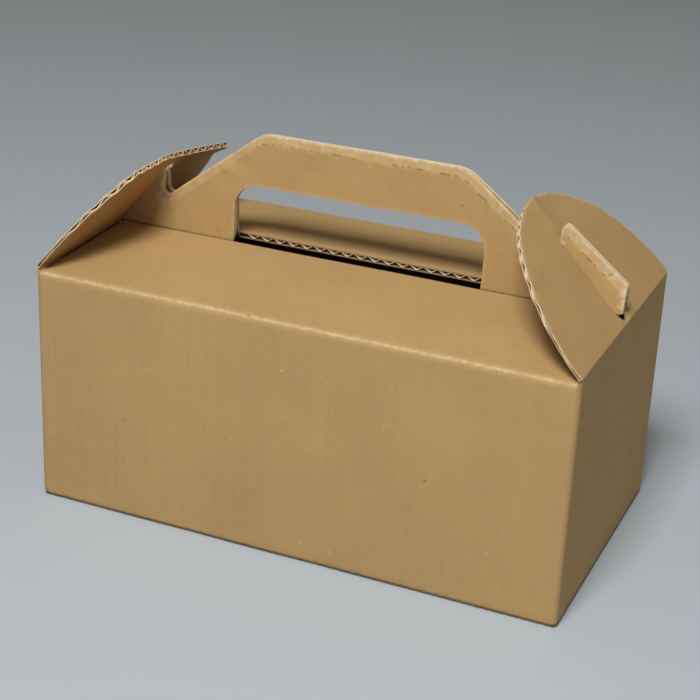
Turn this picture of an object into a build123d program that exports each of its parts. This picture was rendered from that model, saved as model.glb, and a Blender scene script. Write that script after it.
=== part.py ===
from build123d import *
import os
from math import atan2, cos, degrees, radians, sin, tan

# Gable box of kraft corrugated board, folded from one die-cut sheet.
# The frame has +X along the length, +Y to the back and +Z up.
# The origin is the middle of the footprint, on the ground.
# All sizes are in millimetres and all angles in degrees.

# The board: two liners with a fluted medium between them
board = 2.6
flute_pitch = 6.5
liner = 0.35
medium = 0.32

# The walls
length = 240.0
width = 133.6
long_wall_height = 105.7
side_wall_height = 107.9
corner_radius = 2.8

# The roof, which rises from the long walls to the ridge folds
ridge_height = 112.3
ridge_half_gap = 2.9
roof_end_gap = 0.6
ridge_end_inset = 5.9
crease_radius = 2.2

# The carry handle, two boards that lean together above the ridge
handle_height = 49.7
handle_top_gap = 0.3
handle_top_half = 46.7
handle_corner_radius = 15.0
shoulder_angle = 37.4
hand_hole_half = 57.8
hand_hole_height = 26.6
hand_hole_radius = 10.5

# The ear at each end of the handle, which hooks through a side flap
notch_half = 91.0
notch_radius = 2.4
ear_peak = 32.4
ear_end_half = 118.3
ear_end_height = 10.8
ear_lift = 1.4
ear_radius = 1.8

# The edge of the handle, crushed thin on its outer face by the die
crush_width = 3.2
crush_depth = 1.3

# The side flaps, as superellipses in the plane of the flap
flap_reach = 64.0
flap_end_inset = 0.3
flap_fullness = 1.8
flap_points = 15
right_flap_angle = 45.5
left_flap_angle = 49.6
fold_gap = 0.3

# The slot in each flap that the ears come through
slot_start = 2.0
slot_end = 48.2
slot_clearance = 0.4
slot_corner = 2.0
slot_rim = 1.4

# The bend across the tip of the left flap
bend_angle = 25.3
bend_reach = 49.9
bend_slant = 18.4
bend_strip = 1.8

# The bottom, closed by four interlocked flaps
bottom_overlap = 8.0
bottom_side_reach = 58.0
bottom_taper = 24.0
bottom_gap = 1.0
tongue_half = 38.0
tongue_reach = 26.0
notch_clearance = 4.0

# How near the open flutes come to a fold, and how deep they are cut in the roof's edges
fold_strip = 3.0
roof_flute_depth = 14.0

half_length = length / 2
half_width = width / 2
flap_half = half_width - flap_end_inset
ridge_outer = ridge_half_gap + board
roof_slope = degrees(atan2(ridge_height - long_wall_height, half_width - ridge_outer))
lean = degrees(atan2(ridge_half_gap - handle_top_gap / 2, handle_height))


def walls():
    """The four upright walls, joined at rounded corner folds."""
    ring = RectangleRounded(length, width, corner_radius)
    ring -= RectangleRounded(length - 2 * board, width - 2 * board, corner_radius / 2)
    upright = extrude(ring, side_wall_height)
    over_long_walls = Pos(0, 0, long_wall_height) * Box(
        length - 2 * corner_radius,
        width,
        side_wall_height,
        align=(Align.CENTER, Align.CENTER, Align.MIN),
    )
    side_tops = Box(length, width - 2 * corner_radius, 2 * side_wall_height)
    return upright - (over_long_walls - side_tops)


def flute_sketch(count):
    """The hollows of a run of flutes: triangles that point up and down by turns."""
    half_pitch = flute_pitch / 2
    low = -board + liner
    high = -liner
    side = medium * 1.25
    base = half_pitch - side
    hollows = Sketch()
    for index in range(-count, count + 1):
        middle = index * half_pitch
        top, foot = (high - medium, low) if index % 2 else (low + medium, high)
        hollows += make_face(
            Polyline((middle - base, foot), (middle, top), (middle + base, foot), close=True)
        )
    return hollows


def roof_panel():
    """The back roof panel, from the long wall's crease up to the ridge fold."""
    run = half_width - ridge_outer
    slope_length = run / cos(radians(roof_slope))
    crease_half = half_length - board - roof_end_gap
    ridge_half = half_length - board - ridge_end_inset
    outline = make_face(
        Polyline(
            (-crease_half, 0),
            (crease_half, 0),
            (ridge_half, slope_length),
            (-ridge_half, slope_length),
            close=True,
        )
    )
    panel = extrude(outline, -board)
    count = int((hand_hole_half - flute_pitch / 2) / (flute_pitch / 2))
    across = Plane(origin=(0, slope_length - roof_flute_depth, 0), x_dir=(-1, 0, 0), z_dir=(0, 1, 0))
    panel -= extrude(across * flute_sketch(count), 2 * roof_flute_depth)
    frame = Plane(
        origin=(0, half_width, long_wall_height),
        x_dir=(-1, 0, 0),
        z_dir=(0, sin(radians(roof_slope)), cos(radians(roof_slope))),
    )
    return frame * panel


def handle_outline():
    """The outline of one handle board, with its two ears, above the ridge fold."""
    ridge_half = half_length - board - ridge_end_inset
    shoulder = tan(radians(shoulder_angle))
    notch_floor = handle_height - (notch_half - handle_top_half) * shoulder
    right = [
        (ridge_half, 0, 0),
        (ear_end_half, ear_lift, ear_radius),
        (ear_end_half, ear_end_height, ear_radius),
        (notch_half, ear_peak, ear_radius),
        (notch_half, notch_floor, notch_radius),
        (handle_top_half, handle_height, handle_corner_radius),
    ]
    left = [(-x, z, r) for x, z, r in reversed(right)]
    corners = right + left
    points = [(x, z) for x, z, r in corners]
    radii = [r for x, z, r in corners]
    board_above = make_face(FilletPolyline(*points, radius=radii, close=True))
    fold = Pos(0, -board / 2) * Rectangle(2 * ridge_half, board)
    return board_above + fold


def hand_hole():
    """The hand hole, cut right down to the ridge folds, with two rounded corners."""
    arch = Pos(0, hand_hole_height) * Rectangle(
        2 * hand_hole_half, 2 * hand_hole_height, align=(Align.CENTER, Align.MAX)
    )
    return fillet(arch.vertices().group_by(Axis.Y)[-1], hand_hole_radius)


def crushed_edge(path):
    """The wedge that the die takes off the outer face of the board along an edge."""
    along = path % 0
    inward = Vector(-along.Y, along.X, 0)
    past = 1.0
    drop = crush_depth * (1 + past / crush_width)
    wedge = make_face(
        Polyline(
            (crush_width, board),
            (-past, board - drop),
            (-past, board + past),
            (crush_width, board + past),
            close=True,
        )
    )
    return sweep(Plane(origin=path @ 0, x_dir=inward, z_dir=along) * wedge, path=path)


def handle_board():
    """The back handle board, leaning to the middle, its upper edge crushed thin."""
    shoulder = tan(radians(shoulder_angle))
    shoulder_foot = notch_half - 2 * notch_radius
    foot_height = handle_height - (shoulder_foot - handle_top_half) * shoulder
    top_path = FilletPolyline(
        (shoulder_foot, foot_height),
        (handle_top_half, handle_height),
        (-handle_top_half, handle_height),
        (-shoulder_foot, foot_height),
        radius=handle_corner_radius,
    )
    ear_path = Line((ear_end_half, ear_end_height), (notch_half, ear_peak))
    flat = extrude(handle_outline() - hand_hole(), board) - crushed_edge(top_path)
    ear_crush = crushed_edge(ear_path)
    flat = flat - ear_crush - mirror(ear_crush, Plane.YZ)
    upright = Plane(
        origin=(0, ridge_half_gap, ridge_height),
        x_dir=(-1, 0, 0),
        z_dir=(0, cos(radians(lean)), sin(radians(lean))),
    )
    return upright * flat


def bottom():
    """The snap-lock bottom: the front flap outside, its tongue through the back flap."""
    inside_half = half_length - board
    inside_depth = half_width - board
    front = make_face(
        Polyline(
            (-inside_half, -inside_depth),
            (inside_half, -inside_depth),
            (inside_half - bottom_taper, bottom_overlap),
            (-inside_half + bottom_taper, bottom_overlap),
            close=True,
        )
    )
    side_end = inside_half - bottom_side_reach
    back_end = side_end - bottom_gap
    back = make_face(
        Polyline(
            (-inside_half + bottom_gap, inside_depth),
            (inside_half - bottom_gap, inside_depth),
            (back_end, bottom_overlap + bottom_gap),
            (back_end, -bottom_overlap),
            (-back_end, -bottom_overlap),
            (-back_end, bottom_overlap + bottom_gap),
            close=True,
        )
    )
    back -= Pos(0, -bottom_overlap) * Rectangle(
        2 * (tongue_half + notch_clearance),
        2 * (2 * bottom_overlap + notch_clearance),
    )
    side = make_face(
        Polyline(
            (inside_half, -inside_depth),
            (inside_half, inside_depth),
            (side_end, bottom_overlap),
            (side_end, -bottom_overlap),
            close=True,
        )
    )
    tongue_profile = make_face(
        Polyline(
            (bottom_overlap - board, 0),
            (bottom_overlap + board, 2 * board),
            (tongue_reach, 2 * board),
            (tongue_reach, 3 * board),
            (bottom_overlap, 3 * board),
            (bottom_overlap - 2 * board, board),
            (-bottom_overlap, board),
            (-bottom_overlap, 0),
            close=True,
        )
    )
    tongue = extrude(Plane.YZ * tongue_profile, tongue_half, both=True)
    layers = extrude(front, board)
    layers += Pos(0, 0, board) * extrude(side, board)
    layers += Pos(0, 0, board) * extrude(mirror(side, Plane.YZ), board)
    layers += Pos(0, 0, board) * extrude(back, board)
    return layers + tongue


def flap_outline():
    """The rounded outline of a side flap, Y along its fold and X away from it."""
    curve = []
    for step in range(flap_points + 1):
        across = cos(radians(180 * step / flap_points))
        rise = (1 - across * across) ** (1 / flap_fullness)
        curve.append((flap_reach * rise, -flap_half * across))
    edge = Spline(curve, tangents=[(1, 0.02), (-1, 0.02)])
    return make_face(edge + Line(edge @ 1, edge @ 0))


def slot_half(reach, angle):
    """Half the width of the handle boards where they cross a flap, with clearance."""
    height = side_wall_height + reach * sin(radians(angle)) - ridge_height
    return ridge_outer - max(height - 2 * board, 0) * tan(radians(lean)) + slot_clearance


def flap_slot(angle):
    """The slot that both ears come through, as wide as the boards are there."""
    wide = slot_half(slot_start, angle)
    narrow = slot_half(slot_end, angle)
    shape = make_face(
        Polyline(
            (slot_start, -wide),
            (slot_end, -narrow),
            (slot_end, narrow),
            (slot_start, wide),
            close=True,
        )
    )
    return fillet(shape.vertices(), slot_corner)


def bend_zone(margin):
    """The half plane beyond the bend across the flap's tip, moved out by a margin."""
    big = 4 * flap_reach
    beyond = Rectangle(big, 2 * big, align=(Align.MIN, Align.CENTER))
    return Pos(bend_reach, 0) * Rot(0, 0, bend_slant) * Pos(margin, 0) * beyond


def flap_flutes(angle, bent):
    """The open flutes of a flap, which run out through its rounded edge."""
    count = int((flap_half - 2.0) / (flute_pitch / 2))
    along = Plane(origin=(fold_strip, 0, 0), x_dir=(0, 1, 0), z_dir=(1, 0, 0))
    flutes = extrude(along * flute_sketch(count), flap_reach)
    guard = slot_half(slot_start, angle) + slot_rim
    uncut = Rectangle(slot_end + slot_rim, 2 * guard, align=(Align.MIN, Align.CENTER))
    flutes -= Pos(0, 0, -board) * extrude(uncut, board)
    if bent:
        strip = bend_zone(-bend_strip) - bend_zone(bend_strip)
        flutes -= Pos(0, 0, -board) * extrude(strip, board)
    return flutes


def side_flap(angle, bent):
    """One side flap as it lies at rest on the right, hinged on the side wall's fold."""
    plate = extrude(flap_outline() - flap_slot(angle), -board)
    plate -= flap_flutes(angle, bent)
    if bent:
        tip = plate & Pos(0, 0, -board) * extrude(bend_zone(0), board)
        base = plate - Pos(0, 0, -board) * extrude(bend_zone(0), board)
        crease = Axis((bend_reach, 0, 0), (-sin(radians(bend_slant)), cos(radians(bend_slant)), 0))
        plate = base + tip.rotate(crease, bend_angle)
    fold = Plane(
        origin=(half_length, 0, side_wall_height),
        x_dir=(-cos(radians(angle)), 0, sin(radians(angle))),
        z_dir=(sin(radians(angle)), 0, cos(radians(angle))),
    )
    placed = fold * plate
    root = Pos(half_length, 0, side_wall_height + fold_gap) * Box(
        6 * board, width, 4 * board, align=(Align.CENTER, Align.CENTER, Align.MAX)
    )
    return placed - root


def crease_trim():
    """What the rounded crease along the back wall's top leaves off the square corner."""
    turn = radians(90 - roof_slope)
    setback = crease_radius * tan(turn / 2)
    corner = Vector(half_width, long_wall_height)
    on_wall = corner - Vector(0, setback)
    on_roof = corner + Vector(-cos(radians(roof_slope)), sin(radians(roof_slope))) * setback
    centre = on_wall - Vector(crease_radius, 0)
    trim = make_face(Polyline(corner, on_wall, centre, on_roof, close=True))
    trim -= Pos(centre.X, centre.Y) * Circle(crease_radius)
    return extrude(Plane.YZ * trim, half_length - board, both=True)


def folded_box():
    """The whole sheet apart from its side flaps: walls, roof, handle and bottom."""
    half = roof_panel() + handle_board()
    trim = crease_trim()
    sheet = walls() + bottom() + half + mirror(half, Plane.XZ)
    return sheet - trim - mirror(trim, Plane.XZ)


def one_solid(shape):
    """The single solid of a finished piece."""
    return shape.solids().sort_by(SortBy.VOLUME)[-1]


nodes = {
    "folded_box": folded_box(),
    "side_flap_right": side_flap(right_flap_angle, bent=False),
    "side_flap_left": mirror(side_flap(left_flap_angle, bent=True), Plane.YZ),
}

os.makedirs("parts", exist_ok=True)
for name, shape in nodes.items():
    print(name, len(shape.solids()), round(shape.volume))
    export_step(one_solid(shape), f"parts/{name}.step")
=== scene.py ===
from math import acos, atan2, cos, exp, hypot, pi, radians, sin, tan

import bmesh
import bpy
from mathutils import Matrix, Vector, noise
from mathutils.geometry import delaunay_2d_cdt


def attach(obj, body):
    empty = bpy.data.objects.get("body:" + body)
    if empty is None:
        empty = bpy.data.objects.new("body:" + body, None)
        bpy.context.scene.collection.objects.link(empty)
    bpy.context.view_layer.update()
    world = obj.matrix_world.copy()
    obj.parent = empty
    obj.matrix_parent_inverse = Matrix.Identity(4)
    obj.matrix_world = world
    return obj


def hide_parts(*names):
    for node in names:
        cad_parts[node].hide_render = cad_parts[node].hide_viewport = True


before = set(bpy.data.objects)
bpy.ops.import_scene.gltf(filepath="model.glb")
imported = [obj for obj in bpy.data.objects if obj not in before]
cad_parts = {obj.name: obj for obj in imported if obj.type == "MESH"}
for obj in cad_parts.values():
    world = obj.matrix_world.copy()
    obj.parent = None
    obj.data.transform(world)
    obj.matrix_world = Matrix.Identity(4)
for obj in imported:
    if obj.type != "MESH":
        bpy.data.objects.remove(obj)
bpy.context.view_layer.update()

bl_info = {
    "name": "Kraft Gable Box",
    "version": (1, 0, 0),
    "blender": (4, 5, 0),
    "location": "View3D > Sidebar > Gable Box",
    "description": "Dresses a folded gable box in fluted kraft board",
    "category": "Add Mesh",
}

# Lengths in the sketches below are millimetres, and MM takes them to the scene's metres
MM = 0.001


# Sizes and colours that a user would change

def length(name, description, default):
    """A property for a length in millimetres."""
    return bpy.props.FloatProperty(name=name, description=description, default=default)


def colour(name, description, default):
    """A property for a colour."""
    return bpy.props.FloatVectorProperty(
        name=name, description=description, subtype="COLOR", size=3, default=default)


class GableBoxSizes(bpy.types.PropertyGroup):
    """Sizes of the board, the folds and the cut edges, in millimetres"""

    board: length("Board", "Thickness of the corrugated board", 2.6)
    liner: length("Liner", "Thickness of each paper liner", 0.34)
    medium: length("Medium", "Thickness of the fluted paper", 0.34)
    pitch: length("Flute Pitch", "Length of one wave of the fluted paper", 6.5)
    crease_radius: length("Crease Radius", "Outer radius of the long creases", 3.4)
    corner_radius: length("Corner Radius", "Outer radius of the upright corners", 2.5)
    wall_bulge: length("Wall Bulge", "How far a long wall stands out mid-way", 1.2)
    crush_width: length("Crush Width", "Width of the band crushed by the die", 3.4)
    crush_depth: length("Crush Depth", "How far that band is pressed down", 1.35)
    mesh_step: length("Mesh Step", "Spacing of the points on the panels", 3.2)


class GableBoxColours(bpy.types.PropertyGroup):
    """Colours of the papers and of the stage"""

    kraft: colour("Kraft", "Face of the outer liner", (0.465, 0.297, 0.122))
    inside: colour("Inside", "Face of the inner liner", (0.43, 0.262, 0.110))
    medium: colour("Medium", "Fluted paper", (0.70, 0.55, 0.34))
    cut: colour("Cut Edge", "Freshly cut paper edge", (0.70, 0.53, 0.32))
    floor: colour("Floor", "Pale studio floor", (0.48, 0.535, 0.58))


# Sizes of the folded board, in millimetres and degrees

# The box: its walls are measured to the folds at their tops
LENGTH = 240.0
WIDTH = 133.6
LONG_WALL_HEIGHT = 107.3
SIDE_WALL_HEIGHT = 109.4
RIDGE_HEIGHT = 113.4
RIDGE_HALF_GAP = 2.9
RIDGE_FOLD_RADIUS = 0.9
ROOF_END_GAP = 0.6
RIGHT_RIDGE_END = 111.7
LEFT_RIDGE_END = 112.5

# The handle boards, with heights above the ridge and halves from the middle
HANDLE_HEIGHT = 48.9
HANDLE_TOP_GAP = 0.3
HANDLE_TOP_HALF = 46.7
HANDLE_CORNER_RADIUS = 15.0
SHOULDER_ANGLE = 37.4
HAND_HOLE_HALF = 57.8
HAND_HOLE_HEIGHT = 26.1
HAND_HOLE_RADIUS = 10.5
BACK_HOLE_SLIP = 2.6
RIGHT_NOTCH_HALF = 89.2
LEFT_NOTCH_HALF = 94.0
NOTCH_RADIUS = 2.4
RIGHT_EAR_PEAK = 34.4
LEFT_EAR_PEAK = 29.0
EAR_END_HALF = 118.3
EAR_ANGLE = 38.4
EAR_LIFT = 0.6
EAR_RADIUS = 1.8
EAR_FOOT_RADIUS = 0.5

# The side flaps, with reaches from the fold, and the bent tip and straight cut of the left one
FLAP_REACH = 63.0
FLAP_HEEL = 2.4
FLAP_HALF = 66.5
FLAP_FULLNESS = 1.8
RIGHT_FLAP_ANGLE = 45.0
LEFT_FLAP_ANGLE = 51.3
BENT_REACH = 52.2
BENT_SLOPE = 0.05
BEND_ANGLE = 26.8
BEND_REACH = 47.5
BEND_SLANT = 18.4

# The flaps' slots, which open from a narrow neck by the fold to the handle's width
SLOT_START = 1.0
SLOT_NECK = 2.2
SLOT_SHOULDER = 6.5
SLOT_CORNER = 2.0

# The walls' foot: the radius of its fold and its height above the floor
BOTTOM_FOLD = 0.5
WALL_FOOT = 1.9

# How far a long crease runs on into the upright corners, and how far above its start
CREASE_END_REACH = 1.2
CREASE_END_RISE = 1.5

# How the board strays from flat, in millimetres
WALL_UNEVENNESS = 0.5
ROOF_CROWN = 0.7
SIDE_WALL_HOLLOW = 0.5
RIDGE_FURROW = 0.35
EAR_CLOSED_GAP = 0.12
FLAP_UNEVENNESS = 0.35
FLAP_RIM_ROUGHNESS = 0.4
FLAP_POINT = 1.0
FLAP_TIP_DROOP = 0.8
# Soft dents in the handle: x, height above the ridge, reach and depth
HANDLE_DENTS = (
    (-57.0, 35.0, 7.0, 0.9), (-62.0, 26.0, 6.0, 0.6), (70.0, 31.0, 8.0, 0.8),
    (66.0, 22.0, 5.0, 0.5), (-20.0, 36.0, 9.0, 0.3), (14.0, 34.0, 7.0, 0.3),
)

# Heights at which the fold at a wall's foot gets points, as shares of its radius
FOOT_STEPS = (0, 0.06, 0.2, 0.45, 0.7, 1)
# How steeply a corner fold's top climbs from the long crease to the side wall's top
CORNER_TOP_CURVE = 0.85
# Rows of a triangular grid lie this share of its step apart
ROW_SHARE = 0.87

# Each end of the handle: the ridge's end, the notch and the ear's peak
RIGHT_END = (RIGHT_RIDGE_END, RIGHT_NOTCH_HALF, RIGHT_EAR_PEAK)
LEFT_END = (LEFT_RIDGE_END, LEFT_NOTCH_HALF, LEFT_EAR_PEAK)

HALF_LENGTH = LENGTH / 2
HALF_WIDTH = WIDTH / 2


# Plane curves, as lists of points

def walk(start, end, step):
    """Evenly spaced points from start up to, but not at, end."""
    span = hypot(end[0] - start[0], end[1] - start[1])
    count = max(1, round(span / step))
    return [
        (start[0] + (end[0] - start[0]) * k / count, start[1] + (end[1] - start[1]) * k / count)
        for k in range(count)
    ]


def rounded(corners, step, arc_step=0.9):
    """A closed loop through (x, y, radius) corners, with each corner an arc."""
    loop = []
    total = len(corners)
    ends = []
    for k in range(total):
        before, here, after = corners[k - 1], corners[k], corners[(k + 1) % total]
        into = Vector((here[0] - before[0], here[1] - before[1])).normalized()
        out = Vector((after[0] - here[0], after[1] - here[1])).normalized()
        turn = acos(max(-1.0, min(1.0, into.dot(out))))
        point = Vector(here[:2])
        radius = here[2]
        if radius <= 0 or turn < 0.02:
            ends.append([tuple(point)])
            continue
        setback = radius * tan(turn / 2)
        first = point - into * setback
        side = 1 if into.x * out.y - into.y * out.x > 0 else -1
        centre = first + Vector((-into.y, into.x)) * radius * side
        count = max(3, round(radius * turn / arc_step))
        spoke = first - centre
        arc = []
        for j in range(count + 1):
            arc.append(tuple(centre + Matrix.Rotation(side * turn * j / count, 2) @ spoke))
        ends.append(arc)
    for k in range(total):
        loop += ends[k][:-1]
        loop += walk(ends[k][-1], ends[(k + 1) % total][0], step)
    return loop


def distance_to(point, path):
    """How far a point lies from an open path of points."""
    best = 1e9
    x, y = point
    for (ax, ay), (bx, by) in zip(path, path[1:]):
        dx, dy = bx - ax, by - ay
        along = ((x - ax) * dx + (y - ay) * dy) / max(dx * dx + dy * dy, 1e-9)
        along = max(0.0, min(1.0, along))
        best = min(best, hypot(x - ax - dx * along, y - ay - dy * along))
    return best


def fill(outer, holes, step, near=()):
    """Triangles over a loop with holes, also through the near points: points and triangles."""
    points = [Vector(p) for p in outer]
    edges = [(k, (k + 1) % len(outer)) for k in range(len(outer))]
    for hole in holes:
        base = len(points)
        points += [Vector(p) for p in hole]
        edges += [(base + k, base + (k + 1) % len(hole)) for k in range(len(hole))]
    low = [min(p[i] for p in outer) for i in (0, 1)]
    high = [max(p[i] for p in outer) for i in (0, 1)]
    row = 0
    y = low[1] + step / 2
    while y < high[1]:
        x = low[0] + step * (0.5 if row % 2 else 1.0)
        while x < high[0]:
            points.append(Vector((x, y)))
            x += step
        y += step * ROW_SHARE
        row += 1
    points += [Vector(p) for p in near]
    made, _, faces, _, _, _ = delaunay_2d_cdt(points, edges, [], 0, 1e-5)
    keep = []
    for face in faces:
        middle = sum((made[k] for k in face), Vector((0, 0))) / 3
        if inside(middle, outer) and not any(inside(middle, hole) for hole in holes):
            keep.append(tuple(face))
    return made, keep


def inside(point, loop):
    """Whether a point lies within a loop."""
    x, y = point
    odd = False
    for k in range(len(loop)):
        ax, ay = loop[k - 1]
        bx, by = loop[k]
        if (ay > y) != (by > y) and x < (bx - ax) * (y - ay) / (by - ay) + ax:
            odd = not odd
    return odd


def point_key(point):
    """A point's place, rounded so that it can be looked up."""
    return (round(point.x, 4), round(point.y, 4))


def inset_points(path, depths):
    """Points beside a path, on its left, at each of the given depths."""
    points = []
    for before, here, after in zip(path, path[1:], path[2:]):
        along = Vector((after[0] - before[0], after[1] - before[1])).normalized()
        for depth in depths:
            points.append((here[0] - along.y * depth, here[1] + along.x * depth))
    return points


# Board from a flat sketch

def board_mesh(flat, faces, place, layers, open_edge, tags, wear_and_painted_light=lambda p: 0.0):
    """Stacks the flat sketch at each layer's depth and walls its edges.

    layers is a list of (depth function, side), with side 1 for a face that looks out.
    open_edge says, for the middle of an edge, whether the flutes show there.
    tags gives the material of each face layer and of the edge walls.
    The last argument gives, at a flat point, how light the scuffs and painted highlights are, and
    below zero how dark the cracks and painted shade lines are.
    """
    mesh = bmesh.new()
    # This layer carries scuffs and cracks together with painted highlights and painted shade
    # lines
    scuff_and_light = mesh.verts.layers.float.new("wear_and_painted_light")
    used = sorted({k for face in faces for k in face})
    stacks = []
    for depth, _ in layers:
        stack = {k: mesh.verts.new(place(flat[k].x, flat[k].y, depth(flat[k]))) for k in used}
        for k, vert in stack.items():
            vert[scuff_and_light] = wear_and_painted_light(flat[k])
        stacks.append(stack)
    sides = {}
    for face in faces:
        for a, b in zip(face, face[1:] + face[:1]):
            sides[(a, b)] = True
    for (_, side), stack, tag in zip(layers, stacks, tags["faces"]):
        for face in faces:
            corners = [stack[k] for k in face]
            made = mesh.faces.new(corners if side > 0 else corners[::-1])
            made.material_index = tag
            made.smooth = True
    for (a, b) in sides:
        if (b, a) in sides:
            continue
        shown = open_edge((flat[a] + flat[b]) / 2)
        pairs = list(zip(stacks, stacks[1:]))
        if len(pairs) == 3 and shown:
            pairs = [pairs[0], pairs[2]]
        for top, low in pairs:
            made = mesh.faces.new([top[b], top[a], low[a], low[b]])
            made.material_index = tags["edge"]
            made.smooth = False
        for stack in stacks:
            mesh.edges.get((stack[a], stack[b])).smooth = False
    sample = faces[len(faces) // 2]
    corners = [place(flat[k].x, flat[k].y, 0.0) for k in sample]
    up = place(flat[sample[0]].x, flat[sample[0]].y, 1.0) - corners[0]
    if (corners[1] - corners[0]).cross(corners[2] - corners[0]).dot(up) < 0:
        bmesh.ops.reverse_faces(mesh, faces=mesh.faces)
    return mesh


def finish_piece(name, meshes, materials, body, replaced=()):
    """Joins meshes into one object that rides on a body."""
    whole = bpy.data.meshes.new(name)
    joined = bmesh.new()
    joined.verts.layers.float.new("wear_and_painted_light")
    for part in meshes:
        scratch = bpy.data.meshes.new("scratch")
        part.to_mesh(scratch)
        part.free()
        joined.from_mesh(scratch)
        bpy.data.meshes.remove(scratch)
    joined.to_mesh(whole)
    joined.free()
    for material in materials:
        whole.materials.append(material)
    piece = bpy.data.objects.new(name, whole)
    bpy.context.scene.collection.objects.link(piece)
    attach(piece, body)
    if replaced:
        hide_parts(*replaced)


# The fold lines of the box

def foot_inset(height):
    """How far the fold into the bottom draws a wall in at a height."""
    left = WALL_FOOT + BOTTOM_FOLD - height
    if left <= 0:
        return 0.0
    return BOTTOM_FOLD - max(BOTTOM_FOLD ** 2 - left ** 2, 0.0) ** 0.5


class LongRun:
    """The path of a long wall, its roof panel and its handle board, from the ground up."""

    def __init__(self, sizes):
        self.lean = atan2(RIDGE_HALF_GAP - HANDLE_TOP_GAP / 2, HANDLE_HEIGHT)
        self.ridge_outer = RIDGE_HALF_GAP + sizes.board
        self.slope = atan2(RIDGE_HEIGHT - LONG_WALL_HEIGHT, HALF_WIDTH - self.ridge_outer)
        self.bulge = sizes.wall_bulge
        crease_turn = pi / 2 - self.slope
        ridge_turn = pi / 2 - self.slope - self.lean
        self.crease_back = sizes.crease_radius * tan(crease_turn / 2)
        self.ridge_back = RIDGE_FOLD_RADIUS * tan(ridge_turn / 2)
        roof = hypot(HALF_WIDTH - self.ridge_outer, RIDGE_HEIGHT - LONG_WALL_HEIGHT)
        lengths = [
            LONG_WALL_HEIGHT - self.crease_back,
            sizes.crease_radius * crease_turn,
            roof - self.crease_back - self.ridge_back,
            RIDGE_FOLD_RADIUS * ridge_turn,
        ]
        turns = [0, crease_turn, 0, -ridge_turn]
        self.legs = []
        place, heading, start = Vector((HALF_WIDTH, 0)), pi / 2, 0.0
        for span, turn in zip(lengths, turns):
            self.legs.append((start, span, place.copy(), heading, turn))
            place = self.leg_point(self.legs[-1], span)[0]
            heading += turn
            start += span
        # The last leg goes on up the handle board for as long as it is asked to
        self.legs.append((start, LENGTH, place.copy(), heading, 0))
        self.crease_start = lengths[0]
        self.roof_start = lengths[0] + lengths[1]
        self.ridge_start = self.roof_start + lengths[2]
        self.handle_start = start - self.ridge_back

    def leg_point(self, leg, along):
        """The place and the heading at a length along one leg."""
        _, span, place, heading, turn = leg
        if not turn:
            return place + Vector((cos(heading), sin(heading))) * along, heading
        radius = span / abs(turn)
        sign = 1 if turn > 0 else -1
        centre = place + Vector((-sin(heading), cos(heading))) * radius * sign
        swept = turn * along / span
        return centre + Matrix.Rotation(swept, 2) @ (place - centre), heading + swept

    def point(self, side, x, u, d):
        """The place of flat point (x, u) at depth d, on the back if side is 1."""
        leg = [leg for leg in self.legs if leg[0] <= u + 1e-9][-1]
        place, heading = self.leg_point(leg, u - leg[0])
        out = Vector((sin(heading), -cos(heading)))
        spot = place + out * d
        wall = max(0.0, cos(pi * min(abs(x) / (HALF_LENGTH - 3), 1.0) / 2)) ** 1.4
        rise = sin(pi * min(max(u / self.roof_start, 0.0), 1.0))
        spot.x += self.bulge * wall * rise
        uneven = noise.noise(Vector((x / 45, u / 38, 2.0 + side))) * min(wall * 1.5, 1.0)
        spot.x += WALL_UNEVENNESS * uneven
        spot.x -= foot_inset(u)
        rise_up = u - self.handle_start
        _, notch_half, ear_peak = RIGHT_END if x > 0 else LEFT_END
        if rise_up > 0 and abs(x) > notch_half - 3:
            top = ear_peak - (max(abs(x), notch_half) - notch_half) * tan(radians(EAR_ANGLE))
            gap = RIDGE_HALF_GAP - rise_up * tan(self.lean) - EAR_CLOSED_GAP
            spot.x -= max(gap, 0.0) * min(max(rise_up / max(top, 1.0), 0.0), 1.0) ** 2
        lift = 0.0
        if self.roof_start < u < self.ridge_start:
            across = (u - self.roof_start) / (self.ridge_start - self.roof_start)
            lift = ROOF_CROWN * wall * sin(pi * across)
        return Vector((x, side * spot.x, spot.y + lift)) * MM


class SideRun:
    """The path of a side wall and its two corner folds, seen from above."""

    def __init__(self, sizes):
        self.radius = sizes.corner_radius
        self.arc = self.radius * pi / 2
        self.flat = WIDTH - 2 * self.radius
        self.total = self.flat + 2 * self.arc

    def point(self, side, w, z, d):
        """The place of flat point (w, z) at depth d, on the right if side is 1."""
        d -= foot_inset(z)
        if w < self.arc:
            angle = -pi / 2 + w / self.radius
            x = HALF_LENGTH - self.radius + (self.radius + d) * cos(angle)
            y = -HALF_WIDTH + self.radius + (self.radius + d) * sin(angle)
        elif w > self.arc + self.flat:
            angle = (w - self.arc - self.flat) / self.radius
            x = HALF_LENGTH - self.radius + (self.radius + d) * cos(angle)
            y = HALF_WIDTH - self.radius + (self.radius + d) * sin(angle)
        else:
            x = HALF_LENGTH + d
            y = -HALF_WIDTH + self.radius + w - self.arc
            across = (w - self.arc) / self.flat
            x -= SIDE_WALL_HOLLOW * sin(pi * across) * sin(pi * min(z / SIDE_WALL_HEIGHT, 1.0))
        return Vector((side * x, y, z)) * MM


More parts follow.
